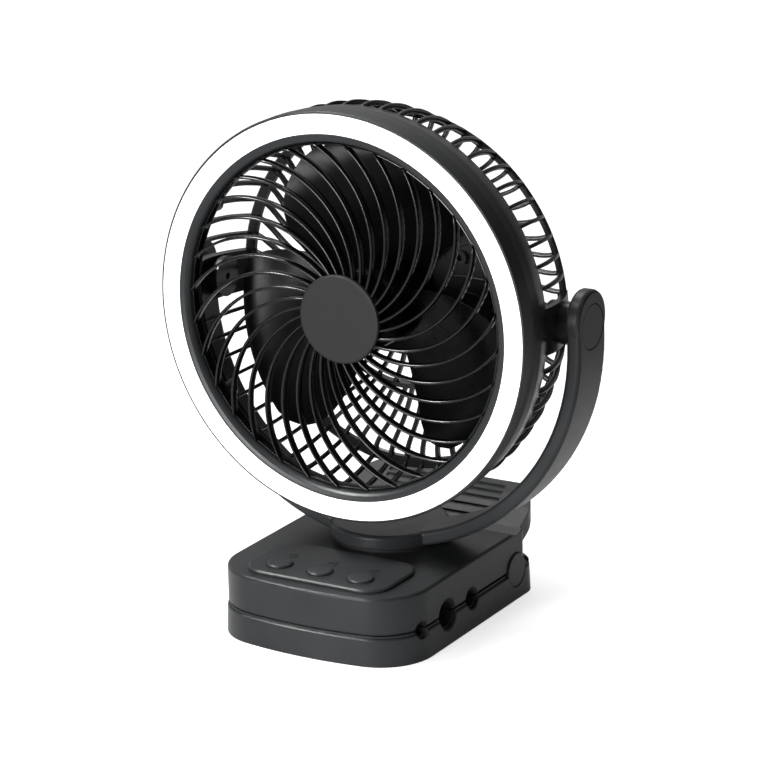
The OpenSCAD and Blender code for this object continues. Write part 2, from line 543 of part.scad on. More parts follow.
module upper_housing() {
  groove_w = 0.95;
  color("#26282a") difference() {
    union() {
      difference() {
        hull() {
          slab(split_z + 1.1, deck_z - 1.2) plan(upper_hw, upper_back, 4);
          slab(deck_z - 0.45, deck_z - 0.4) plan(upper_hw, upper_back, 4, -0.35);
          slab(deck_z - 0.05, deck_z) plan(upper_hw, upper_back, 4, -1);
        }
        across(upper_hw + 9) polygon(concat(from_hinge([[-3, 8.5], [-3, -0.5], [1.7, -2], [7.7, 0]]),
          from_hinge([[11.2, 1.9], [11.2, 8.5]])));
      }
      slab(split_z + 0.2, split_z + 1.7) plan(upper_hw, upper_back, 4, -1);
      // grip tail with round corners
      intersection() {
        across(upper_hw - 1.5) polygon(from_hinge(concat(tail_top, tail_under)));
        slab(0, deck_z + 30) union() {
          translate([1.5 - upper_hw, hinge_y - 8]) square([2 * upper_hw - 3, 22.6]);
          for (s = [-1, 1]) translate([s * (upper_hw - 17), hinge_y + 14.6]) circle(r = 15.5);
          translate([17 - upper_hw, hinge_y]) square([2 * upper_hw - 34, 30.1]);
        }
      }
    }
    // hollow inside, with the swivel boss, the screw posts and the button wells left standing
    difference() {
      slab(split_z - 3, roof_z) plan(upper_hw, upper_back, 4, -wall);
      cylinder(r = stem_r + 4.6, h = 40);
      across(upper_hw + 9) polygon(from_hinge([[-5.4, 8.5], [-5.4, -2.9], [1.7, -4.4], [11.2, -1], [11.2, 8.5]]));
      at(plate_at) cylinder(r = 3.2, h = 40);
      at(buttons_at) cylinder(r = button_r + 1.5, h = 40);
    }
    // room for the jaw plate, under the swivel boss and under the button wells
    slab(split_z - 3, split_z + 2.5) plan(upper_hw, hinge_y - 6.8, 4, -wall);
    slab(split_z - 3, stem_z + 0.1) circle(r = stem_r + 5);
    for (g = grooves) bar_x(g[0], split_z, g[1] + pad_t + 1.7, 2 * (upper_hw - 8.9));
    at(buttons_at) cylinder(r = button_r + 2.9, h = roof_z);
    // grip grooves across the tail
    for (y = [10.1, 15.2, 20, 23.4, 26.1])
      bar_x(hinge_y + y, deck_z + lookup(y, tail_top) + 0.2, groove_w, 2 * (upper_hw - 19.6));
    // hollow under the tail, in four cells
    intersection() {
      across(upper_hw - 7) polygon(from_hinge([[12.6, -11.5], [12.6, 0.1], [18.7, 3.1], [25.8, 8.1], [26.1, -11.5]]));
      for (k = [0:3]) translate([-(upper_hw - 7) + k * (2 * upper_hw - 12.4) / 4, hinge_y, 0])
        cube([(2 * upper_hw - 14) / 4 - 1.2, 40, 60]);
    }
    // swivel bore
    translate([0, 0, stem_z - 5]) cylinder(r = stem_r + 0.06, h = 30);
    // pole grooves with a bevelled mouth
    for (g = grooves) {
      bar_x(g[0], split_z, g[1] + pad_t, 2 * upper_hw + 20);
      for (a = [0, 180]) translate([0, g[0], split_z]) rotate([a, 0, 0]) mirror([a > 0 ? 1 : 0, 0, 0])
        translate([upper_hw - 0.5, 0, 0]) rotate([0, 90, 0])
          cylinder(r1 = g[1] + pad_t, r2 = g[1] + pad_t + 0.8, h = 0.8);
    }
    // room for the hinge discs, and the cut that lets the tail swing down past the lower jaw
    for (s = [-1, 1]) translate([s * (upper_hw + 0.4) - 4.3, 0, 0]) {
      translate([0, hinge_y, hinge_z]) rotate([0, 90, 0]) cylinder(r = disc_r + 0.3, h = 8.6);
      rotate([90, 0, 90]) linear_extrude(8.6) polygon([[hinge_y, 0], [hinge_y + 32, 0],
        [hinge_y + 32, hinge_z + 18.5], [hinge_y, hinge_z]]);
    }
    // plate screws, button wells and the charging socket
    at(plate_at) translate([0, 0, split_z - 3]) cylinder(r = 1.35, h = 15);
    at(buttons_at) translate([0, 0, board_z]) cylinder(r = button_r + 0.25, h = 20);
    translate([-upper_hw - 5, 2, deck_z - 7.3]) rotate([0, 90, 0]) linear_extrude(20)
      translate([-1.7, -4.6]) rrect(3.4, 9.2, 1.65);
  }
  // hinge ears
  color("#26282a") for (s = [-1, 1]) translate([s * (upper_hw - 6.7) - 2.3, 0, 0])
    rotate([90, 0, 90]) linear_extrude(4.6) difference() {
      union() {
        translate([hinge_y, hinge_z]) circle(r = pin_r + 3.1);
        polygon([[hinge_y - pin_r - 3.1, hinge_z], [hinge_y - pin_r - 3.1, deck_z - 1.9],
          [hinge_y - 2.8, deck_z - 1.9], [hinge_y + 1.7, deck_z - 3.2], [hinge_y + 8.7, deck_z - 1.5],
          [hinge_y + 8.7, deck_z - 7.5], [hinge_y + pin_r + 2.7, hinge_z + 1.9]]);
      }
      translate([hinge_y, hinge_z]) circle(r = pin_r + e);
    }
}

module upper_jaw_plate() {
  color("#222426") difference() {
    slab(split_z + 0.2, split_z + 2.5) plan(upper_hw, hinge_y - 6.8, 4, -wall - 0.1);
    for (g = grooves) bar_x(g[0], split_z, g[1] + pad_t, 2 * upper_hw + 20);
    at(plate_at) translate([0, 0, split_z - 3]) {
      cylinder(r = 1.5, h = 10);
      cylinder(r = 2.9, h = 4.7);
    }
  }
  color("#222426") intersection() {
    for (g = grooves) difference() {
      bar_x(g[0], split_z, g[1] + pad_t + 1.6, 2 * upper_hw);
      bar_x(g[0], split_z, g[1] + pad_t, 2 * upper_hw + 20);
    }
    slab(split_z + 2.3, roof_z) plan(upper_hw, hinge_y - 6.8, 4, -wall - 0.15);
    translate([6.1 - upper_hw, -nose_y, split_z + 2.3]) cube([2 * upper_hw - 12.2, 2 * nose_y, 20]);
  }
}

// half liners of one jaw, kept between two heights
module liners(z1, z2) intersection() {
  for (g = grooves) difference() {
    bar_x(g[0], split_z, g[1] + pad_t - 0.02, 2 * upper_hw - 1.6);
    bar_x(g[0], split_z, g[1], 2 * upper_hw + 20);
  }
  slab(z1, z2) plan(upper_hw, hinge_y, 4, -0.8);
}

module upper_groove_liners() { color("#0c0d0e") liners(split_z + 0.3, deck_z); }

module plate_screws() {
  color("#8d9092") at(plate_at) screw_up(split_z + 0.1, 1.2, 2.7, 1.6, 7);
}

module control_panel() {
  color("#2d2f31") difference() {
    hull() {
      slab(deck_z, deck_z + panel_t - 0.7) translate([-panel_w / 2, -button_y - 12.3]) rrect(panel_w, panel_l, 12);
      slab(deck_z + panel_t - 0.1, deck_z + panel_t) translate([0.8 - panel_w / 2, -button_y - 11.5])
        rrect(panel_w - 1.6, panel_l - 1.6, 11.2);
    }
    at(buttons_at) translate([0, 0, board_z]) cylinder(r = button_r + 0.25, h = 20);
  }
}

module button(i) translate([buttons_at[i][0], buttons_at[i][1], 0]) {
  top = deck_z + panel_t + 1.3;
  translate([0, 0, top]) rotate_extrude($fn = 72) polygon([[0, -4], [button_r, -4], [button_r, -0.75],
    [button_r - 0.5, -0.25], [button_r - 1.4, -0.05], [0, 0]]);
  translate([0, 0, board_z + 4]) cylinder(r = 1.6, h = top - 3.8 - board_z - 4);
}

module power_button() { color("#333537") button(0); }

module speed_button() { color("#333537") button(1); }

module light_button() { color("#333537") button(2); }

module control_board() {
  color("#1d5c3a") difference() {
    slab(board_z, board_z + 1.4) translate([-34, -button_y - 10.3]) rrect(68, 22.4, 2);
    for (x = [-31.6, 31.6], y = [-7.9, 9.7]) translate([x, y - button_y, board_z - 3]) cylinder(r = 1.1, h = 6);
  }
}

module button_switches() {
  color("#303234") at(buttons_at) difference() {
    translate([-3, -3, board_z + 1.4]) cube([6, 6, 3.5]);
    translate([0, 0, board_z + 3.8 - press]) cylinder(r = 1.6 + e, h = 5);
  }
}

module battery_pack() {
  color("#4a6b8a") slab(split_z + 2.5, split_z + 8.1) translate([-36, -6.6]) rrect(72, 26.8, 1.6);
}

module charge_port() {
  color("#b4b7ba") translate([-upper_hw + 0.1, 2, deck_z - 7.3]) rotate([0, 90, 0]) {
    difference() {
      linear_extrude(7.4) translate([-1.65, -4.5]) rrect(3.3, 9, 1.6);
      translate([0, 0, -1]) linear_extrude(6.5) translate([-1.3, -4.15]) rrect(2.6, 8.3, 1.25);
    }
    translate([-0.35, -3.3, 1]) cube([0.7, 6.6, 5]);
  }
}

// ---- lower jaw ----

module lower_jaw() {
  inner = -wall - 0.4;
  color("#232527") difference() {
    union() {
      hull() {
        slab(0, 0.1) plan(lower_hw, lower_back, lower_rr, 0.5);
        slab(split_z - 2.1, split_z - 2) plan(lower_hw, lower_back, lower_rr);
        slab(split_z - 1.5, split_z - 1.4) plan(lower_hw, lower_back, lower_rr, -0.5);
      }
      slab(split_z - 2.3, split_z - 0.3) plan(lower_hw, lower_back, lower_rr, -1.1);
      // raised rear rim
      intersection() {
        hull() {
          slab(split_z - 3, split_z - 0.1) plan(lower_hw, lower_back, lower_rr, -0.15);
          slab(split_z + 0.7, split_z + 0.8) plan(lower_hw, lower_back, lower_rr, -0.8);
        }
        translate([-lower_hw - 9, lower_back - 5.4, 0]) cube([2 * lower_hw + 18, 20, 30]);
      }
      // round ears that carry the hinge pin
      for (s = [-1, 1]) translate([s * (lower_hw - 2.9) - 1.5, hinge_y, hinge_z]) rotate([0, 90, 0])
        cylinder(r = disc_r - 0.4, h = 3);
    }
    // hollow under the front deck
    difference() {
      slab(-1, split_z - 2.7) plan(lower_hw, hinge_y - 8.2, 9, -wall);
      for (g = grooves) bar_x(g[0], split_z, g[1] + pad_t + 1.8, 2 * lower_hw + 20);
      at(base_at) cylinder(r = 3.4, h = 20);
    }
    // open cup behind the deck
    intersection() {
      slab(-1, split_z + 27) plan(lower_hw, lower_back, lower_rr, inner);
      union() {
        translate([-lower_hw + 4.6, hinge_y - 6.2, -1]) cube([2 * lower_hw - 9.2, 60, 60]);
        translate([-lower_hw - 9, hinge_y + disc_r - 0.3, -1]) cube([2 * lower_hw + 18, 60, 60]);
      }
    }
    // seat of the base plate
    slab(-1, floor_t) plan(lower_hw, lower_back, lower_rr, -1.6);
    // pole grooves with a bevelled mouth
    for (g = grooves) {
      bar_x(g[0], split_z, g[1] + pad_t, 2 * lower_hw + 20);
      for (a = [0, 180]) translate([0, g[0], split_z]) rotate([a, 0, 0]) mirror([a > 0 ? 1 : 0, 0, 0])
        translate([lower_hw - 0.5, 0, 0]) rotate([0, 90, 0])
          cylinder(r1 = g[1] + pad_t, r2 = g[1] + pad_t + 1.1, h = 1.1);
    }
    // pin bore, recess for the hinge discs, screw holes
    bar_x(hinge_y, hinge_z, pin_r + e, 2 * lower_hw + 20);
    for (s = [-1, 1]) translate([s * (lower_hw + 1.1) - 2.5, hinge_y, hinge_z]) rotate([0, 90, 0])
      cylinder(r = disc_r + 0.1, h = 5);
    at(base_at) translate([0, 0, -1]) cylinder(r = 1.25, h = 9);
  }
}

module base_plate() {
  color("#1c1e1f") difference() {
    slab(0, floor_t) plan(lower_hw, lower_back, lower_rr, -1.7);
    at(base_at) translate([0, 0, -1]) {
      cylinder(r = 1.5, h = 10);
      cylinder(r = 2.9, h = 2);
    }
    at(foot_at) translate([0, 0, -1]) cylinder(r = 5.05, h = 2);
  }
}

module lower_groove_liners() { color("#0c0d0e") liners(0, split_z - 0.4); }

module base_screws() {
  color("#8d9092") at(base_at) screw_up(0.1, 1.2, 2.7, 0.9, 6);
}

module rubber_feet() { color("#0c0d0e") at(foot_at) cylinder(r = 5, h = 1); }

module hinge_pin() { color("#b4b7ba") bar_x(hinge_y, hinge_z, pin_r, 2 * (lower_hw - 1.4)); }

module hinge_caps() {
  color("#2b2d2f") for (s = [-1, 1]) translate([s * (lower_hw - 1.35), hinge_y, hinge_z])
    rotate([0, s * 90, 0]) rotate_extrude($fn = 72)
      polygon([[0, 0], [disc_r, 0], [disc_r, 1], [disc_r - 0.4, 1.4], [0, 1.4]]);
}

// round wire swept along a coil with two straight legs
module torsion_spring() {
  turns = 8;
  n = 20;
  cr = pin_r + 2.1;
  wr = 0.75;
  m = 8;
  coil = [for (k = [0:turns * n + n / 2]) let (a = 90 + 360 * k / n)
    [-12 + 24 * k / (turns * n + n / 2), cr * cos(a), cr * sin(a)]];
  nc = len(coil);
  path = concat([[-12, 6.9, cr + 10.3]], coil, [[12, 17, -cr - 3.6]]);
  rings = [for (i = [0:nc + 1]) let (
      p = path[max(0, i - 1)], q = path[min(nc + 1, i + 1)], d = (q - p) / norm(q - p),
      s = [1, 0, 0] - d * d[0], sx = s / norm(s), sy = cross(d, sx))
    [for (j = [0:m - 1]) path[i] + wr * (cos(360 * j / m) * sx + sin(360 * j / m) * sy)]];
  color("#c6c9cb") translate([0, hinge_y, hinge_z]) polyhedron(points = [for (g = rings, p = g) p],
    faces = concat([[for (j = [0:m - 1]) j]], [[for (j = [m - 1:-1:0]) (nc + 1) * m + j]],
      [for (i = [0:nc], j = [0:m - 1]) [i * m + j, (i + 1) * m + j, (i + 1) * m + (j + 1) % m, i * m + (j + 1) % m]]));
}

front_bezel();
led_diffuser();
led_board();
led_chips();
front_grille();
hub_cap();
rear_cage();
cage_screws();
motor();
motor_screws();
motor_cover();
impeller();
motor_shaft();
impeller_nut();
yoke();
pivot_washers();
pivot_screws();
friction_washers();
pivot_caps();
swivel_retainer();
swivel_screw();
swivel_ring();
upper_housing();
upper_jaw_plate();
upper_groove_liners();
plate_screws();
control_panel();
power_button();
speed_button();
light_button();
control_board();
button_switches();
battery_pack();
charge_port();
lower_jaw();
base_plate();
lower_groove_liners();
base_screws();
rubber_feet();
hinge_pin();
hinge_caps();
torsion_spring();
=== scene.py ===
"""Finishes, fine pieces, stage and camera for a camping fan with a lamp ring.

The head looks towards -Y. The fan wheel turns with the rotor, the front ribs
and the rear cage ride on the head, and the marks of the keys ride on the
upper jaw. Metres throughout, Z up.
"""
import math

import bmesh
import bpy
from mathutils import Matrix, Vector


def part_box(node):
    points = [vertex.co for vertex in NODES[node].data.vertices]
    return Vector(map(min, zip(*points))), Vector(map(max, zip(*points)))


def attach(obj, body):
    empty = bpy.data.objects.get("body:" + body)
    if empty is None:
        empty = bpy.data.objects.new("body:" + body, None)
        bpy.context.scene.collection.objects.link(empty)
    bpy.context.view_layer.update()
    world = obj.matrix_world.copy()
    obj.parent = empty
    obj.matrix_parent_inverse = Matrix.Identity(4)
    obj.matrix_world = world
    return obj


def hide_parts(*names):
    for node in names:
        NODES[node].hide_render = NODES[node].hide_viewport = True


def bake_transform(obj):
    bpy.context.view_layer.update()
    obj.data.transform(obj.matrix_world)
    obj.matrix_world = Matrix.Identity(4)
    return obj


bl_info = {
    "name": "Camping Fan",
    "version": (1, 0, 0),
    "blender": (4, 5, 0),
    "location": "View3D > Sidebar > Fan",
    "description": "Dresses a clamp fan with a lamp ring and sets it on a pale studio floor",
    "category": "Object",
}

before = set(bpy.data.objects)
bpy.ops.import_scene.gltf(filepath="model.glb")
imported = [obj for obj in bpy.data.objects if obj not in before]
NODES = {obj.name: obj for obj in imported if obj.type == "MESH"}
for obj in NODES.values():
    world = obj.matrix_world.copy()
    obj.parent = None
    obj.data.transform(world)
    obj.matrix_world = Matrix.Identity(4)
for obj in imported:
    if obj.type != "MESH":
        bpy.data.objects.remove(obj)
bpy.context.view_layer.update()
MM = 0.001

RING_LOW, RING_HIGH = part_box("front_bezel")
COVER_LOW, COVER_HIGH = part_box("motor_cover")
PANEL_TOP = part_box("control_panel")[1].z
RING_R = RING_HIGH.x
COVER_R = COVER_HIGH.x
PIVOT_Z = (RING_LOW.z + RING_HIGH.z) / 2
# distance from the middle to the inner face of each arm of the yoke
ARM_IN = RING_R + 4.8 * MM
# the cage is made lying on its back and then stood up, so these are heights above the tilt axis: the rear
# edge of the lamp ring, and the rear face of the cage
BAND = -RING_HIGH.y
BACK = -COVER_LOW.y


def middle(node):
    """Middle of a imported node's box."""
    low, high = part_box(node)
    return (low + high) / 2


def added(group, name, data):
    """A new object in a collection, which is made on first use."""
    home = bpy.data.collections.get(group)
    if home is None:
        home = bpy.data.collections.new(group)
        bpy.context.scene.collection.children.link(home)
    made = bpy.data.objects.new(name, data)
    home.objects.link(made)
    return made


# ---- shader maths ----

class Value:
    """One shader socket. Arithmetic on it adds the Math nodes."""

    def __init__(self, tree, out):
        self.tree = tree
        self.out = out

    def maths(self, operation, *values):
        node = self.tree.nodes.new("ShaderNodeMath")
        node.operation = operation
        for socket, value in zip(node.inputs, values):
            plug(self.tree, socket, value)
        return Value(self.tree, node.outputs[0])

    def __add__(self, other):
        return self.maths("ADD", self, other)

    def __radd__(self, other):
        return self.maths("ADD", other, self)

    def __sub__(self, other):
        return self.maths("SUBTRACT", self, other)

    def __rsub__(self, other):
        return self.maths("SUBTRACT", other, self)

    def __mul__(self, other):
        return self.maths("MULTIPLY", self, other)

    def __rmul__(self, other):
        return self.maths("MULTIPLY", other, self)

    def __gt__(self, other):
        return self.maths("GREATER_THAN", self, other)

    def power(self, exponent):
        return self.maths("POWER", self, exponent)

    def kept(self, low=0.0, high=1.0):
        """Held between two limits."""
        return self.maths("MINIMUM", self.maths("MAXIMUM", self, low), high)


def plug(tree, socket, value):
    """Links a Value into a socket, or writes a plain number, vector or colour there."""
    if isinstance(value, Value):
        tree.links.new(value.out, socket)
    elif hasattr(value, "__len__") and len(socket.default_value) > len(value):
        socket.default_value = (*value, 1.0)
    else:
        socket.default_value = value


class Graph:
    """The shader nodes of a material or of the world."""

    def __init__(self, owner):
        owner.use_nodes = True
        self.tree = owner.node_tree
        self.tree.nodes.clear()

    def node(self, kind, settings=None, sockets=None, out=0):
        """Adds a node: its settings first, then values or links of its sockets; gives one output."""
        node = self.tree.nodes.new(kind)
        for key, value in (settings or {}).items():
            setattr(node, key, value)
        for key, value in (sockets or {}).items():
            plug(self.tree, node.inputs[key], value)
        return Value(self.tree, node.outputs[out]) if node.outputs else None

    def blend(self, share, first, second):
        """A colour between two colours."""
        return self.node("ShaderNodeMix", {"data_type": "RGBA"}, {"Factor": share, 6: first, 7: second}, 2)

    def rays(self, kind):
        """1 for rays of one kind, otherwise 0."""
        return self.node("ShaderNodeLightPath", out=f"Is {kind} Ray")


class Finish(Graph):
    """A material on one Principled shader, with textures placed in object space."""

    # most values of a noise lie from NOISE_LOW to NOISE_LOW + NOISE_RUN
    NOISE_LOW = 0.32
    NOISE_RUN = 0.36

    def __init__(self, name, color, roughness, fixed=None):
        self.material = bpy.data.materials.new(name)
        self.material.diffuse_color = (*color, 1.0)
        super().__init__(self.material)
        self.surface = self.node("ShaderNodeBsdfPrincipled", {},
                                 {"Base Color": color, "Roughness": roughness, **(fixed or {})})
        self.node("ShaderNodeOutputMaterial", {}, {"Surface": self.surface})
        self.place = self.node("ShaderNodeTexCoord", out="Object")

    def feed(self, sockets):
        """Links for the shader's own sockets."""
        for key, value in sockets.items():
            plug(self.tree, self.surface.out.node.inputs[key], value)

    def noise(self, scale, detail=2.0, rough=0.5, where=None):
        return self.node("ShaderNodeTexNoise", {}, {
            "Vector": where or self.place, "Scale": scale, "Detail": detail, "Roughness": rough})

    def stretched(self, *scale):
        """Object space scaled by axis, for a grain that runs one way."""
        return self.node("ShaderNodeMapping", {"vector_type": "POINT"},
                         {"Vector": self.place, "Scale": scale})

    def spread(self, value, low, high):
        """A noise value stretched to run from low to high."""
        run = (high - low) / self.NOISE_RUN
        return ((value - self.NOISE_LOW) * run + low).kept(low, high)

    def relief(self, height, depth, edge=0.0):
        """Raises the surface by a height map, depth in metres, over edges rounded to a radius."""
        sockets = {"Strength": 1.0, "Distance": depth, "Height": height}
        if edge:
            sockets["Normal"] = self.node("ShaderNodeBevel", {"samples": 4}, {"Radius": edge})
        self.feed({"Normal": self.node("ShaderNodeBump", {}, sockets)})

    def vary(self, tint, first, second, sheen, rough):
        """Base colour between two colours by one noise value, roughness between two limits by another."""
        self.feed({"Base Color": self.blend(self.spread(tint, 0.0, 1.0), first, second),
                   "Roughness": self.spread(sheen, *rough)})


def shade(color, factor):
    return tuple(min(1.0, c * factor) for c in color)


def moulded(name, color, rough, grain=1400.0, depth=0.02 * MM, cloud=0.12, edge=0.4 * MM, specular=0.5):
    """Moulded plastic: spark-eroded grain, slow clouds in the sheen and in the colour."""
    f = Finish(name, color, rough[0], {"Specular IOR Level": specular})
    slow = f.noise(26.0, 3.0, 0.55)
    fine = f.noise(grain, 2.0, 0.6)
    rub = f.noise(190.0, 4.0, 0.7)
    f.vary(slow, shade(color, 1 - cloud), shade(color, 1 + cloud), slow * 0.45 + rub * 0.55, rough)
    f.relief(fine * 0.8 + rub * 0.2, depth, edge)
    return f.material


def drawn_steel(name, color, rough):
    """Plated steel with fine turning marks and a little patchy dulling."""
    f = Finish(name, color, rough[0], {"Metallic": 1.0})
    grain = f.noise(1.0, 3.0, 0.6, where=f.stretched(260.0, 260.0, 3200.0))
    patch = f.noise(420.0, 3.0)
    f.vary(patch, shade(color, 0.82), color, grain * 0.6 + patch * 0.4, rough)
    f.relief(grain, 0.01 * MM)
    return f.material


def lit_diffuser(name, glow):
    """Opal lamp cover: even white light with the faintest dimming between the chips behind it."""
    f = Finish(name, (0.9, 0.91, 0.92), 0.42, {"Emission Strength": glow})
    mist = f.noise(60.0)
    f.feed({"Emission Color": f.blend(f.spread(mist, 0.0, 1.0), (0.95, 0.97, 1.0), (1.0, 1.0, 1.0)),
            "Roughness": f.spread(mist, 0.36, 0.5)})
    return f.material


def soft_rubber(name, color):
    """Matt rubber with fine pores and a pale bloom."""
    f = Finish(name, color, 0.8)
    pores = f.noise(2600.0, 2.0, 0.7)
    bloom = f.noise(60.0, 3.0)
    f.vary(bloom, color, shade(color, 1.7), bloom, (0.68, 0.9))
    f.relief(pores, 0.03 * MM)
    return f.material


def circuit_board(name, mask, copper):
    """Solder mask over copper: broad copper fields show a shade lighter than the gaps."""
    f = Finish(name, mask, 0.34)
    fields = f.node("ShaderNodeTexVoronoi", {"feature": "DISTANCE_TO_EDGE"},
                    {"Vector": f.place, "Scale": 210.0})
    weave = f.noise(1800.0)
    field = fields > 0.06
    f.feed({"Base Color": f.blend(field, shade(mask, 0.7), copper), "Roughness": f.spread(weave, 0.28, 0.44)})
    f.relief(field * 0.6 + weave * 0.4, 0.03 * MM)
    return f.material


def wrapped_cell(name, color):
    """Shrink film on a flat cell: long soft wrinkles, with painted shade in their hollows and painted light
    on their ridges.
    """
    f = Finish(name, color, 0.3)
    wrinkles_and_shade = f.noise(1.0, 3.0, 0.6, where=f.stretched(30.0, 300.0, 120.0))
    # the wrinkle noise also colours the film: darker in the hollows and lighter on the ridges, which is
    # painted shade and painted light
    f.vary(wrinkles_and_shade, shade(color, 0.85), shade(color, 1.15), wrinkles_and_shade, (0.22, 0.42))
    f.relief(wrinkles_and_shade, 0.12 * MM)
    return f.material


def phosphor(name, color):
    """Yellow phosphor on the lamp chips, faintly lit."""
    f = Finish(name, color, 0.5, {"Emission Strength": 0.8})
    grains = f.noise(2400.0)
    f.vary(grains, shade(color, 0.9), color, grains, (0.4, 0.6))
    f.feed({"Emission Color": f.blend(f.spread(grains, 0.0, 1.0), (1.0, 0.9, 0.62), (1.0, 0.95, 0.75))})
    return f.material


# ---- settings ----

class FINISH_settings(bpy.types.PropertyGroup):
    """Colours of the plastics and the light of the lamp ring."""

    charcoal: bpy.props.FloatVectorProperty(
        name="Housing", description="Colour of the ring, yoke and clamp jaws",
        subtype="COLOR", size=3, min=0, max=1, default=(0.029, 0.031, 0.033))
    ribs: bpy.props.FloatVectorProperty(
        name="Front ribs", description="Colour of the swept front ribs",
        subtype="COLOR", size=3, min=0, max=1, default=(0.0045, 0.0047, 0.0049))
    cage: bpy.props.FloatVectorProperty(
        name="Rear cage", description="Colour of the rear cage and motor cover",
        subtype="COLOR", size=3, min=0, max=1, default=(0.0045, 0.0047, 0.0049))
    hub: bpy.props.FloatVectorProperty(
        name="Hub cap", description="Colour of the centre cap",
        subtype="COLOR", size=3, min=0, max=1, default=(0.0129, 0.0134, 0.0137))
    blades: bpy.props.FloatVectorProperty(
        name="Blades", description="Colour of the fan wheel",
        subtype="COLOR", size=3, min=0, max=1, default=(0.0025, 0.0026, 0.0028))
    keys: bpy.props.FloatVectorProperty(
        name="Keys", description="Colour of the three push keys",
        subtype="COLOR", size=3, min=0, max=1, default=(0.031, 0.033, 0.035))
    lamp_glow: bpy.props.FloatProperty(
        name="Lamp glow", description="Light given by the lamp ring, 1 shows as white",
        min=0, max=4, default=1.03)


class CAGE_settings(bpy.types.PropertyGroup):
    """Ribs of the rear cage."""

    ribs: bpy.props.IntProperty(
        name="Ribs", description="Number of side ribs", min=20, max=80, default=60)
    side_width: bpy.props.FloatProperty(
        name="Side rib width", description="Width of a side rib",
        unit="LENGTH", min=0.001, max=0.003, default=0.0017, precision=4)
    side_depth: bpy.props.FloatProperty(
        name="Side rib depth", description="Depth of a side rib",
        unit="LENGTH", min=0.001, max=0.004, default=0.0026, precision=4)
    rear_width: bpy.props.FloatProperty(
        name="Rear rib width", description="Width of a rear rib",
        unit="LENGTH", min=0.001, max=0.003, default=0.0019, precision=4)
    rear_depth: bpy.props.FloatProperty(
        name="Rear rib depth", description="Depth of a rear rib",
        unit="LENGTH", min=0.001, max=0.004, default=0.0029, precision=4)
    soft: bpy.props.FloatProperty(
        name="Rounding", description="Radius of the long edges of the ribs",
        unit="LENGTH", min=0.0001, max=0.0008, default=0.0005, precision=5)
    slant: bpy.props.FloatProperty(
        name="Slant", description="Turn of a rear rib in degrees for each metre inward",
        min=0, max=600, default=368.0)


class MARKS_settings(bpy.types.PropertyGroup):
    """Raised marks behind the keys."""

    size: bpy.props.FloatProperty(
        name="Size", description="Height of a key mark",
        unit="LENGTH", min=0.002, max=0.008, default=0.0046, precision=4)
    line: bpy.props.FloatProperty(
        name="Line", description="Width of the lines of a mark",
        unit="LENGTH", min=0.0002, max=0.001, default=0.00055, precision=5)
    rise: bpy.props.FloatProperty(
        name="Rise", description="How far the marks stand out of the panel",
        unit="LENGTH", min=0.00005, max=0.0005, default=0.00018, precision=5)
    setback: bpy.props.FloatProperty(
        name="Setback", description="Distance from the middle of a key to its mark",
        unit="LENGTH", min=0.007, max=0.016, default=0.0118, precision=4)


class STAGE_settings(bpy.types.PropertyGroup):
    """Camera and floor."""

    azimuth: bpy.props.FloatProperty(
        name="Azimuth", description="Camera turn to the right of the front",
        subtype="ANGLE", default=math.radians(31.139))
    elevation: bpy.props.FloatProperty(
        name="Elevation", description="Camera height angle",
        subtype="ANGLE", default=math.radians(17.305))
    roll: bpy.props.FloatProperty(
        name="Roll", description="Tilt of the camera about its own axis",
        subtype="ANGLE", default=math.radians(-1.422))
    distance: bpy.props.FloatProperty(
        name="Distance", description="From the camera to its target",
        unit="LENGTH", default=1.5086)
    target: bpy.props.FloatVectorProperty(
        name="Target", description="Point at the middle of the picture",
        subtype="XYZ", unit="LENGTH", size=3, default=(-0.001587, 0.0, 0.106606))
    lens: bpy.props.FloatProperty(
        name="Lens", description="Focal length on a 36 mm sensor",
        min=20, max=400, default=152.14)
    floor: bpy.props.FloatVectorProperty(
        name="Floor", description="Colour of the floor",
        subtype="COLOR", size=3, min=0, max=1, default=(0.86, 0.86, 0.86))


# ---- meshes ----

def crease(bm, angle):
    """Smooth faces, with sharp edges where they meet at more than an angle in degrees."""
    for face in bm.faces:
        face.smooth = True
    for edge in bm.edges:
        edge.smooth = not (len(edge.link_faces) == 2 and edge.calc_face_angle(0.0) > math.radians(angle))


def smooth_copy(node, name, angle):
    """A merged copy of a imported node, its faces smooth up to a crease angle in degrees."""
    data = NODES[node].data.copy()
    data.name = name
    bm = bmesh.new()
    bm.from_mesh(data)
    bmesh.ops.remove_doubles(bm, verts=bm.verts, dist=0.004 * MM)
    bmesh.ops.dissolve_degenerate(bm, edges=bm.edges, dist=0.002 * MM)
    crease(bm, angle)
    bm.to_mesh(data)
    bm.free()
    if data.has_custom_normals:
        data.attributes.remove(data.attributes["custom_normal"])
    return added("fan_pieces", name, data)


def piece_from(bm, name, material, angle=None):
    """Closes a bmesh into a piece, faces outwards: flat, or smooth up to a crease angle in degrees."""
    bmesh.ops.remove_doubles(bm, verts=bm.verts, dist=0.001 * MM)
    bmesh.ops.recalc_face_normals(bm, faces=bm.faces)
    if angle is not None:
        crease(bm, angle)
    data = bpy.data.meshes.new(name)
    bm.to_mesh(data)
    bm.free()
    data.materials.append(material)
    return added("fan_pieces", name, data)


def polar(radius, angle, z):
    return Vector((radius * math.cos(angle), radius * math.sin(angle), z))


def turned(bm, section, first=0.0, sweep=math.tau, steps=180):
    """Spins a closed section of (radius, height) points about Z and gives the new corners.

    A full turn closes on itself, and a part turn has a face at each end.
    """
    before = set(bm.verts)
    verts = [bm.verts.new(polar(x, first, z)) for x, z in section]
    edges = [bm.edges.new(pair) for pair in zip(verts, verts[1:] + verts[:1])]
    whole = math.isclose(sweep, math.tau)
    ends = [] if whole else [bm.faces.new(verts)]
    bmesh.ops.spin(bm, geom=ends + edges + verts, cent=(0, 0, 0), axis=(0, 0, 1), angle=sweep, steps=steps,
                   use_merge=whole, use_duplicate=False)
    return [v for v in bm.verts if v not in before]


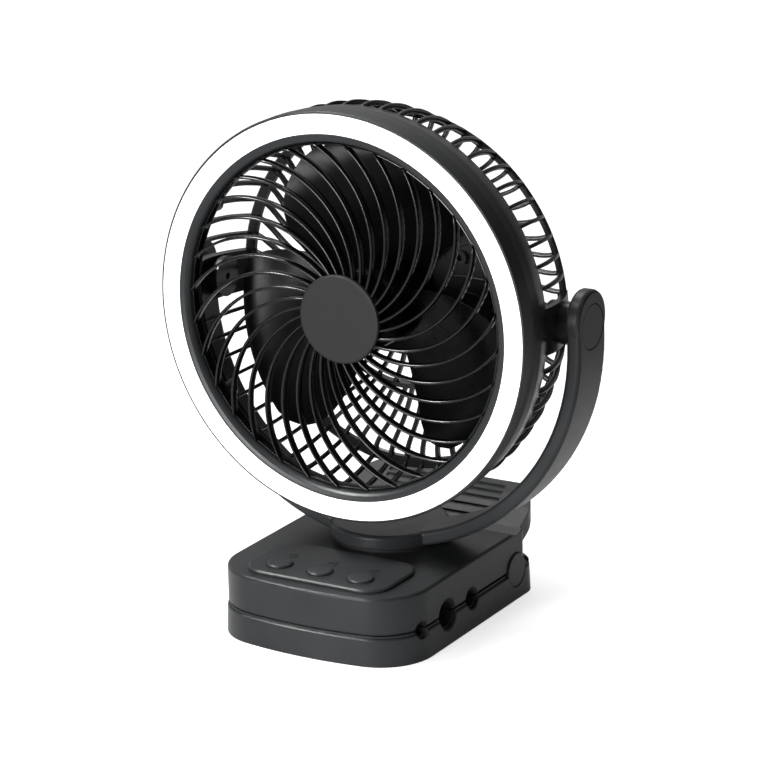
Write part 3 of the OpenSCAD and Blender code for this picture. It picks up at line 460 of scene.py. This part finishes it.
def tube(bm, inner, outer, low, high, first=0.0, sweep=math.tau, steps=32):
    """A tube about Z, or a stretch of one; gives the new corners."""
    return turned(bm, [(inner, low), (outer, low), (outer, high), (inner, high)], first, sweep, steps)


def moved_out(section, radius, height):
    """A section in millimetres, moved out to a radius and up to a height."""
    return [(radius + x * MM, height + z * MM) for x, z in section]


def eased(points, parts=3):
    """Points along a smooth curve through the given ones."""
    ends = [points[0]] + list(points) + [points[-1]]
    out = []
    for a, b, c, d in zip(ends, ends[1:], ends[2:], ends[3:]):
        for k in range(parts):
            t = k / parts
            out.append(b + (c - a) * (t / 2) + (a * 2 - b * 5 + c * 4 - d) * (t * t / 2)
                       + (b * 3 - a - c * 3 + d) * (t ** 3 / 2))
    return out + [points[-1]]


def headings(path):
    """Unit directions along a path, one at each point."""
    last = len(path) - 1
    return [(path[min(k + 1, last)] - path[max(k - 1, 0)]).normalized() for k in range(last + 1)]


def long_edges(bm):
    """Edges that run along X."""
    return [e for e in bm.edges if abs(e.verts[0].co.x - e.verts[1].co.x) > 0.5]


def bent_rod(path, flat, width, depth, soft):
    """A bmesh of a bar with rounded long edges that follows a path, its width along flat."""
    last = len(path) - 1
    bm = bmesh.new()
    # a straight bar first, on which X counts the points of the path
    place = Matrix.Translation((last / 2, 0, 0)) @ Matrix.Diagonal((last, width, depth, 1.0))
    bmesh.ops.create_cube(bm, size=1.0, matrix=place)
    bmesh.ops.bevel(bm, geom=long_edges(bm), offset=soft, offset_type="OFFSET", segments=2, profile=0.5,
                    affect="EDGES", material=-1)
    bmesh.ops.subdivide_edges(bm, edges=long_edges(bm), cuts=last - 1)
    along = headings(path)
    for v in bm.verts:
        k = round(v.co.x)
        side = (flat - along[k] * flat.dot(along[k])).normalized()
        v.co = path[k] + side * v.co.y + along[k].cross(side) * v.co.z
    return bm


def repeat(bm, single, angles):
    """Adds copies of a small bmesh, turned about Z, and frees it."""
    data = bpy.data.meshes.new("single")
    single.to_mesh(data)
    single.free()
    turn = 0.0
    for angle in angles:
        data.transform(Matrix.Rotation(angle - turn, 4, "Z"))
        turn = angle
        bm.from_mesh(data)
    bpy.data.meshes.remove(data)


def bar(bm, start, end, width, rise):
    """A low flat bar with rounded ends between two points of the XY plane."""
    run = end - start
    centre = (start + end) / 2 + Vector((0, 0, rise / 2))
    place = Matrix.Translation(centre) @ Matrix.Rotation(math.atan2(run.y, run.x), 4, "Z")
    size = Matrix.Diagonal((run.length + width, width, rise, 1.0))
    made = bmesh.ops.create_cube(bm, size=1.0, matrix=place @ size)
    # each edge is met from both of its corners
    upright = dict.fromkeys(e for v in made["verts"] for e in v.link_edges
                            if abs(e.verts[0].co.z - e.verts[1].co.z) > rise / 2)
    bmesh.ops.bevel(bm, geom=list(upright), offset=width * 0.45, offset_type="OFFSET", segments=3,
                    profile=0.5, affect="EDGES", material=-1)


def bent_bar(bm, radius, width, rise, first=0, sweep=360, steps=24):
    """A low flat bar along an arc about the origin, from an angle and through a sweep, both in degrees."""
    return tube(bm, radius - width / 2, radius + width / 2, 0.0, rise, math.radians(first),
                math.radians(sweep), steps)


# ---- operators ----

class FAN_OT_finishes(bpy.types.Operator):
    """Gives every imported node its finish"""

    bl_idname = "fan.finishes"
    bl_label = "Finishes"

    # specular level of the dull plastics
    DULL = 0.3

    def finishes(self, s):
        """Each finish with the nodes that have it."""
        return (
            (moulded("housing_plastic", s.charcoal, (0.28, 0.38), depth=0.016 * MM, edge=0.7 * MM,
                     specular=self.DULL),
             "front_bezel yoke pivot_caps upper_housing upper_jaw_plate control_panel lower_jaw hinge_caps"),
            (moulded("key_plastic", s.keys, (0.38, 0.48), specular=self.DULL),
             "power_button speed_button light_button"),
            (moulded("rib_plastic", s.ribs, (0.14, 0.22), grain=700.0, depth=0.004 * MM, edge=0.25 * MM),
             "front_grille"),
            (moulded("hub_plastic", s.hub, (0.46, 0.54), grain=2200.0, cloud=0.05, edge=0.9 * MM,
                     specular=self.DULL),
             "hub_cap"),
            (moulded("cage_plastic", s.cage, (0.22, 0.32), grain=900.0, depth=0.008 * MM, edge=0.0),
             "rear_cage motor_cover"),
            (moulded("blade_plastic", s.blades, (0.24, 0.34), grain=500.0, depth=0.008 * MM, specular=0.15),
             "impeller"),
            (moulded("switch_plastic", (0.02, 0.02, 0.021), (0.4, 0.55)), "button_switches"),
            (moulded("black_nylon", (0.018, 0.018, 0.019), (0.5, 0.62), grain=1800.0),
             "friction_washers swivel_ring base_plate"),
            (soft_rubber("groove_rubber", (0.011, 0.011, 0.012)),
             "upper_groove_liners lower_groove_liners rubber_feet"),
            (lit_diffuser("lamp_cover", s.lamp_glow), "led_diffuser"),
            (phosphor("lamp_phosphor", (0.90, 0.78, 0.34)), "led_chips"),
            (circuit_board("lamp_board", (0.78, 0.80, 0.77), (0.86, 0.87, 0.84)), "led_board"),
            (circuit_board("key_board", (0.02, 0.14, 0.06), (0.03, 0.2, 0.09)), "control_board"),
            (wrapped_cell("cell_film", (0.07, 0.17, 0.30)), "battery_pack"),
            (drawn_steel("socket_steel", (0.55, 0.56, 0.57), (0.22, 0.36)), "charge_port"),
            (drawn_steel("zinc_steel", (0.60, 0.61, 0.62), (0.28, 0.42)),
             "cage_screws motor motor_screws motor_shaft impeller_nut pivot_washers pivot_screws "
             "swivel_retainer swivel_screw plate_screws base_screws hinge_pin torsion_spring"),
        )

    def execute(self, context):
        left = set(NODES)
        for material, names in self.finishes(context.scene.fan_finish):
            for name in names.split():
                data = NODES[name].data
                data.materials.clear()
                data.materials.append(material)
                left.discard(name)
        if left:
            raise RuntimeError(f"nodes without a finish: {sorted(left)}")
        return {"FINISHED"}


class FAN_OT_wheel(bpy.types.Operator):
    """The fan wheel, with smoothly curved blades"""

    bl_idname = "fan.wheel"
    bl_label = "Fan wheel"

    def execute(self, context):
        wheel = smooth_copy("impeller", "fan_wheel", 30.0)
        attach(wheel, "rotor")
        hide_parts("impeller")
        return {"FINISHED"}


class FAN_OT_grille(bpy.types.Operator):
    """The swept front ribs, rounded along their front edges"""

    bl_idname = "fan.grille"
    bl_label = "Front ribs"

    def execute(self, context):
        grille = smooth_copy("front_grille", "swept_grille", 62.0)
        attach(grille, "head")
        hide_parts("front_grille")
        return {"FINISHED"}


class FAN_OT_cage(bpy.types.Operator):
    """The rear cage: front ring, rounded side ribs, corner hoop, slanted rear ribs, plates and pivots"""

    bl_idname = "fan.cage"
    bl_label = "Rear cage"

    # radii of the corner hoop, the screw bosses and the ring halfway in
    CORNER = RING_R - 8.4 * MM
    BOSS_R = RING_R - 6.6 * MM
    HALFWAY = 47.5 * MM

    # the middle line of a side rib and the sections that are spun, as radius and height in millimetres.
    # From the corner and the rear face:
    SIDE = ((4.8, 36.0), (5.5, 31.5), (5.6, 26.0), (4.8, 20.5), (3.1, 13.5), (1.0, 8.0), (-0.8, 4.0),
            (-2.1, 1.6), (-3.8, 0.3), (-5.4, -0.1))
    HOOP = ((-5.4, -0.9), (-3.2, -0.7), (-1.5, 0.2), (-0.5, 1.8), (-1.5, 2.6), (-4.9, 0.6))
    # From the ring halfway in and the rear face:
    HALF_RING = ((-2.3, -0.4), (0.0, -0.4), (0.0, 3.4), (-2.3, 3.4))
    # From the edge of the lamp ring and its rear:
    FRONT = ((-5.4, -8.7), (-3.9, -2.0), (-3.8, 0.0), (-0.6, 0.0), (-1.7, -7.7), (-2.2, -8.7))
    # From their own axes, the first at the rear of the lamp ring and the second at the rear face:
    SCREW_BOSS = ((1.4, -6.3), (2.9, -6.3), (2.9, -8.45), (3.8, -8.45), (3.8, -0.1), (1.4, -0.1))
    WIRE_BOSS = ((1.5, 1.0), (3.4, 1.0), (3.4, 5.6), (1.5, 5.6))
    SCREWS = [math.radians(33 + 60 * k) for k in range(6)]

    # motor plate: bore and thickness
    PLATE_BORE = 4.2 * MM
    PLATE = 3 * MM

    # plate of the wire channel: outer radius, heights of its faces, start and sweep, and its screw
    WIRE_OUT = HALFWAY + 5.6 * MM
    WIRE_FACES = (BACK + 0.35 * MM, BACK + 2.65 * MM)
    WIRE_ARC = (math.radians(-24), math.radians(84))
    WIRE_SCREW = polar(HALFWAY - 8.9 * MM, math.radians(31), 0)

    # solid lugs that carry the pivots: half their angle, and how far they stand proud of the ribs
    LUG_HALF = math.radians(6.6)
    LUG_PROUD = 0.35 * MM
    # sine of the angle from a pivot within which there are no ribs
    LUG_CLEAR = 0.15

    # rear ribs: points of each, where they start, their straight run, their lean back to the hoop, their
    # height, the share of the slant that they have at the hoop, and how far they run into what ends them
    PARTS = 18
    START = CORNER - 4.4 * MM
    STRAIGHT = 22 * MM
    LEAN = 0.9 * MM
    LEAN_RUN = 24 * MM
    RIB_MID = BACK + 1.55 * MM
    FIRST_SHARE = 0.6
    LAP = 2 * MM
    RING_LAP = 1.2 * MM

    # pivots: bore, then the radius, start and end of the boss and of the axle
    BORE = 1.65 * MM
    PIVOTS = ((9.75 * MM, RING_R - 9.3 * MM, ARM_IN - 0.85 * MM),
              (6.0 * MM, ARM_IN - 2 * MM, ARM_IN + 2.85 * MM))

    def execute(self, context):
        s = context.scene.fan_cage
        bm = bmesh.new()
        step = math.tau / s.ribs
        spine = eased([Vector((x, 0, z)) for x, z in moved_out(self.SIDE, self.CORNER, BACK)])
        self.lugs(bm, spine, s.side_depth / 2 + self.LUG_PROUD)
        self.rings(bm)
        self.wire_channel(bm)
        self.screw_bosses(bm)
        self.pivots(bm)
        rib = bent_rod(spine, Vector((0, 1, 0)), s.side_width, s.side_depth, s.soft)
        repeat(bm, rib, [k * step for k in range(s.ribs) if abs(math.sin(k * step)) > self.LUG_CLEAR])
        # every second rear rib runs on to the motor plate, the others end at the ring halfway in
        for k, end in enumerate((COVER_R - self.LAP, self.HALFWAY - self.RING_LAP)):
            repeat(bm, self.rear_rib(s, end), [n * step for n in range(k, s.ribs, 2)])
        upright = Matrix.Translation((0, 0, PIVOT_Z)) @ Matrix.Rotation(math.pi / 2, 4, "X")
        bmesh.ops.transform(bm, matrix=upright, verts=bm.verts)
        cage = piece_from(bm, "slatted_cage", bpy.data.materials["cage_plastic"], 40.0)
        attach(cage, "head")
        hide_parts("rear_cage")
        return {"FINISHED"}

    def lugs(self, bm, spine, reach):
        """Solid stretches of the side: the middle line thickened both ways."""
        out = [Vector((h.z, 0, -h.x)) * reach for h in headings(spine)]
        inside = [p - o for p, o in zip(spine, out)]
        outside = [p + o for p, o in zip(spine, out)]
        outline = [(p.x, p.z) for p in inside + outside[::-1]]
        for side in (0, math.pi):
            turned(bm, outline, side - self.LUG_HALF, 2 * self.LUG_HALF, 12)

    def rings(self, bm):
        """Front ring, corner hoop, ring halfway in and motor plate."""
        turned(bm, moved_out(self.FRONT, RING_R, BAND))
        turned(bm, moved_out(self.HOOP, self.CORNER, BACK))
        turned(bm, moved_out(self.HALF_RING, self.HALFWAY, BACK), steps=120)
        tube(bm, self.PLATE_BORE, COVER_R, BACK, BACK + self.PLATE, steps=96)

    def wire_channel(self, bm):
        """Plate that covers the wires on their way to the motor, with the boss of its screw."""
        tube(bm, COVER_R - self.LAP, self.WIRE_OUT, *self.WIRE_FACES, *self.WIRE_ARC, steps=60)
        boss = turned(bm, moved_out(self.WIRE_BOSS, 0, BACK), steps=32)
        bmesh.ops.translate(bm, verts=boss, vec=self.WIRE_SCREW)

    def screw_bosses(self, bm):
        """Bosses along the front ring for the screws that hold the cage."""
        for angle in self.SCREWS:
            boss = turned(bm, moved_out(self.SCREW_BOSS, 0, BAND), steps=32)
            bmesh.ops.translate(bm, verts=boss, vec=polar(self.BOSS_R, angle, 0))

    def pivots(self, bm):
        """Bosses and bored axles of the tilt pivots."""
        for side in (1, -1):
            turn = Matrix.Rotation(side * math.pi / 2, 3, "Y")
            for radius, low, high in self.PIVOTS:
                made = tube(bm, self.BORE, radius, low, high, steps=64)
                bmesh.ops.rotate(bm, verts=made, cent=(0, 0, 0), matrix=turn)

    def rear_rib(self, s, end):
        """One slanted rear rib from the hoop to a smaller radius: it leaves the hoop straight, then turns."""
        path = []
        for k in range(self.PARTS + 1):
            inward = (self.START - end) * k / self.PARTS
            turn = s.slant * inward * (self.FIRST_SHARE + (1 - self.FIRST_SHARE) * k / self.PARTS)
            if inward < self.STRAIGHT:
                turn -= s.slant * self.FIRST_SHARE * inward * (1 - inward / self.STRAIGHT) ** 2
            lean = max(0.0, 1 - inward / self.LEAN_RUN) ** 2 * self.LEAN
            path.append(polar(self.START - inward, math.radians(turn), self.RIB_MID - lean))
        return bent_rod(path, Vector((0, 0, 1)), s.rear_depth, s.rear_width, s.soft)


class FAN_OT_spring(bpy.types.Operator):
    """The torsion spring of the clamp, as round wire"""

    bl_idname = "fan.spring"
    bl_label = "Clamp spring"

    # half the length along the pin over which the coil winds up
    REACH = Vector((11 * MM, 0, 0))

    def execute(self, context):
        spring = smooth_copy("torsion_spring", "clamp_spring", 50.0)
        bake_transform(spring)
        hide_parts("torsion_spring")
        return {"FINISHED"}


class FAN_OT_marks(bpy.types.Operator):
    """Raised marks behind the keys: on and off, air, light"""

    bl_idname = "fan.marks"
    bl_label = "Key marks"

    # how far the marks reach into the panel
    SINK = 0.1 * MM

    @staticmethod
    def power(bm, size, line, rise):
        """An open ring with a bar through its gap."""
        bent_bar(bm, size * 0.42, line, rise, 125, 290)
        bar(bm, Vector((0, size * 0.1, 0)), Vector((0, size * 0.5, 0)), line, rise)

    @staticmethod
    def air(bm, size, line, rise):
        """Three blades round a hub."""
        for k in range(3):
            turn = Matrix.Rotation(math.tau * k / 3, 3, "Z")
            blade = bent_bar(bm, size * 0.27, line * 1.5, rise, -60, 150, 12)
            bmesh.ops.translate(bm, verts=blade, vec=(0, size * 0.27, 0))
            bmesh.ops.rotate(bm, verts=blade, cent=(0, 0, 0), matrix=turn)
        bmesh.ops.create_cone(bm, cap_ends=True, segments=20, radius1=line, radius2=line, depth=rise,
                              matrix=Matrix.Translation((0, 0, rise / 2)))

    @staticmethod
    def lamp(bm, size, line, rise):
        """A ring with eight short rays."""
        bent_bar(bm, size * 0.2, line, rise, steps=28)
        for k in range(8):
            ray = polar(size, math.tau * k / 8, 0)
            bar(bm, ray * 0.34, ray * 0.46, line, rise)

    def execute(self, context):
        s = context.scene.fan_marks
        drawn = {"power_button": self.power, "speed_button": self.air, "light_button": self.lamp}
        for node, draw in drawn.items():
            bm = bmesh.new()
            draw(bm, s.size, s.line, s.rise + self.SINK)
            key = middle(node)
            bmesh.ops.translate(bm, verts=bm.verts, vec=(key.x, key.y + s.setback, PANEL_TOP - self.SINK))
            mark = piece_from(bm, node.replace("button", "mark"), bpy.data.materials["key_plastic"])
            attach(mark, "upper")
        return {"FINISHED"}


class FAN_OT_stage(bpy.types.Operator):
    """Floor, lamps, world and camera"""

    bl_idname = "fan.stage"
    bl_label = "Studio"

    SENSOR_MM = 36.0
    # half the width of the floor
    FLOOR_HALF = 12.0

    # near the fan the floor has its full colour, for the shadow, and is a little less white: the radius at
    # which that ends, how steeply it fades, how much less white, and the shade of the rest of the floor
    NEAR = 0.55
    FADE = 3.0
    LESS_WHITE = 0.3
    FAR_SHADE = 0.3
    # share of the white floor that the gloss sees
    GLOSS = 0.25

    # plain light round the fan, and what the gloss sees: a wash from one side, and the rest
    AIR = 0.09
    WASH_FROM = (-0.62, 0.45, 0.64)
    WASH = 0.6
    WASH_REST = 0.03

    # name: place, target, width, height, power
    LAMPS = {
        "key_panel": ((-0.3, -1.7, 0.3), (0.0, 0.0, 0.1), 0.8, 0.6, 25.0),
        "high_panel": ((-0.75, -0.55, 1.3), (0.0, 0.0, 0.1), 0.6, 0.6, 9.0),
        "top_strip": ((-0.55, 0.35, 1.25), (0.0, 0.0, 0.14), 1.3, 0.3, 7.0),
        "rib_glint": ((-0.75, -0.7, 1.15), (0.0, 0.0, 0.15), 0.3, 0.3, 22.0),
        "top_panel": ((0.2, -0.3, 1.5), (0.0, 0.0, 0.1), 0.7, 0.7, 1.5),
    }

    def execute(self, context):
        scene = context.scene
        s = scene.fan_stage
        scene.camera = self.camera(s)
        self.floor(s.floor)
        for name, settings in self.LAMPS.items():
            lamp = self.lamp(name, *settings)
            # this one only draws the highlights along the ribs
            lamp.visible_diffuse = name != "rib_glint"
        scene.world = self.air()
        scene.view_settings.view_transform = "Standard"
        return {"FINISHED"}

    def camera(self, s):
        """A camera in front of the target, turned to the right, raised and rolled."""
        data = bpy.data.cameras.new("picture")
        data.lens = s.lens
        data.sensor_width = self.SENSOR_MM
        data.sensor_fit = "HORIZONTAL"
        data.clip_start = 0.05
        data.clip_end = 50.0
        flat = math.cos(s.elevation)
        back = Vector((math.sin(s.azimuth) * flat, -math.cos(s.azimuth) * flat, math.sin(s.elevation)))
        right = Vector((math.cos(s.azimuth), math.sin(s.azimuth), 0.0))
        up = back.cross(right)
        side = right * math.cos(s.roll) + up * math.sin(s.roll)
        top = up * math.cos(s.roll) - right * math.sin(s.roll)
        turn = Matrix((side, top, back)).transposed().to_4x4()
        camera = added("studio", "picture", data)
        camera.matrix_world = Matrix.Translation(Vector(s.target) + back * s.distance) @ turn
        return camera

    def floor(self, color):
        """A wide flat floor under the fan."""
        bm = bmesh.new()
        bmesh.ops.create_grid(bm, x_segments=1, y_segments=1, size=self.FLOOR_HALF)
        data = bpy.data.meshes.new("floor")
        bm.to_mesh(data)
        bm.free()
        data.materials.append(self.floor_finish(color))
        added("studio", "floor", data)

    @staticmethod
    def lamp(name, place, target, width, height, power):
        """An area lamp that looks at a point."""
        data = bpy.data.lights.new(name, "AREA")
        data.shape = "RECTANGLE"
        data.size = width
        data.size_y = height
        data.energy = power
        lamp = added("studio", name, data)
        aim = (Vector(target) - Vector(place)).to_track_quat("-Z", "Y").to_matrix().to_4x4()
        lamp.matrix_world = Matrix.Translation(place) @ aim
        return lamp

    def floor_finish(self, color):
        """Pale matt floor that keeps the shadow; the picture and the gloss see it a little brighter."""
        material = bpy.data.materials.new("studio_floor")
        g = Graph(material)
        place = g.node("ShaderNodeTexCoord", out="Object")
        reach = g.node("ShaderNodeVectorMath", {"operation": "LENGTH"}, {0: place}, "Value")
        near = ((self.NEAR - reach) * self.FADE).kept()
        white = (g.rays("Camera") + g.rays("Transmission") + g.rays("Glossy") * self.GLOSS).kept()
        tone = g.blend(near, shade(color, self.FAR_SHADE), color)
        matt = g.node("ShaderNodeBsdfDiffuse", {}, {"Color": tone})
        glow = g.node("ShaderNodeEmission", {}, {"Strength": white * (1 - near * self.LESS_WHITE)})
        both = g.node("ShaderNodeAddShader", {}, {0: matt, 1: glow})
        g.node("ShaderNodeOutputMaterial", {}, {"Surface": both})
        return material

    def air(self):
        """White behind the fan, plain grey light round it, and a brighter side for the gloss."""
        world = bpy.data.worlds.new("studio_air")
        g = Graph(world)
        white = (g.rays("Camera") + g.rays("Transmission")).kept()
        gloss = g.rays("Glossy")
        place = g.node("ShaderNodeTexCoord", out="Generated")
        side = g.node("ShaderNodeVectorMath", {"operation": "DOT_PRODUCT"},
                      {0: place, 1: self.WASH_FROM}, "Value")
        wash = side.kept().power(2.0)
        light = white + (1 - white) * (1 - gloss) * self.AIR + gloss * (wash * self.WASH + self.WASH_REST)
        air = g.node("ShaderNodeBackground", {}, {"Color": (1.0, 1.0, 1.0), "Strength": light})
        g.node("ShaderNodeOutputWorld", {}, {"Surface": air})
        return world


class FAN_PT_panel(bpy.types.Panel):
    """Lists the steps and their settings"""

    bl_idname = "FAN_PT_panel"
    bl_label = "Camping Fan"
    bl_space_type = "VIEW_3D"
    bl_region_type = "UI"
    bl_category = "Fan"

    def draw(self, context):
        scene = context.scene
        for group, steps in (
                (scene.fan_finish, (FAN_OT_finishes, FAN_OT_wheel, FAN_OT_grille, FAN_OT_spring)),
                (scene.fan_cage, (FAN_OT_cage,)),
                (scene.fan_marks, (FAN_OT_marks,)),
                (scene.fan_stage, (FAN_OT_stage,))):
            box = self.layout.box()
            for key in group.__annotations__:
                box.prop(group, key)
            for step in steps:
                box.operator(step.bl_idname)


CLASSES = (FINISH_settings, CAGE_settings, MARKS_settings, STAGE_settings, FAN_OT_finishes, FAN_OT_wheel,
           FAN_OT_grille, FAN_OT_cage, FAN_OT_spring, FAN_OT_marks, FAN_OT_stage, FAN_PT_panel)


def register():
    for cls in CLASSES:
        bpy.utils.register_class(cls)
    bpy.types.Scene.fan_finish = bpy.props.PointerProperty(type=FINISH_settings)
    bpy.types.Scene.fan_cage = bpy.props.PointerProperty(type=CAGE_settings)
    bpy.types.Scene.fan_marks = bpy.props.PointerProperty(type=MARKS_settings)
    bpy.types.Scene.fan_stage = bpy.props.PointerProperty(type=STAGE_settings)


def unregister():
    del bpy.types.Scene.fan_stage
    del bpy.types.Scene.fan_marks
    del bpy.types.Scene.fan_cage
    del bpy.types.Scene.fan_finish
    for cls in reversed(CLASSES):
        bpy.utils.unregister_class(cls)


def main():
    register()
    bpy.ops.fan.finishes()
    bpy.ops.fan.wheel()
    bpy.ops.fan.grille()
    bpy.ops.fan.cage()
    bpy.ops.fan.spring()
    bpy.ops.fan.marks()
    bpy.ops.fan.stage()
    bpy.context.view_layer.update()


if __name__ == "__main__":
    main()
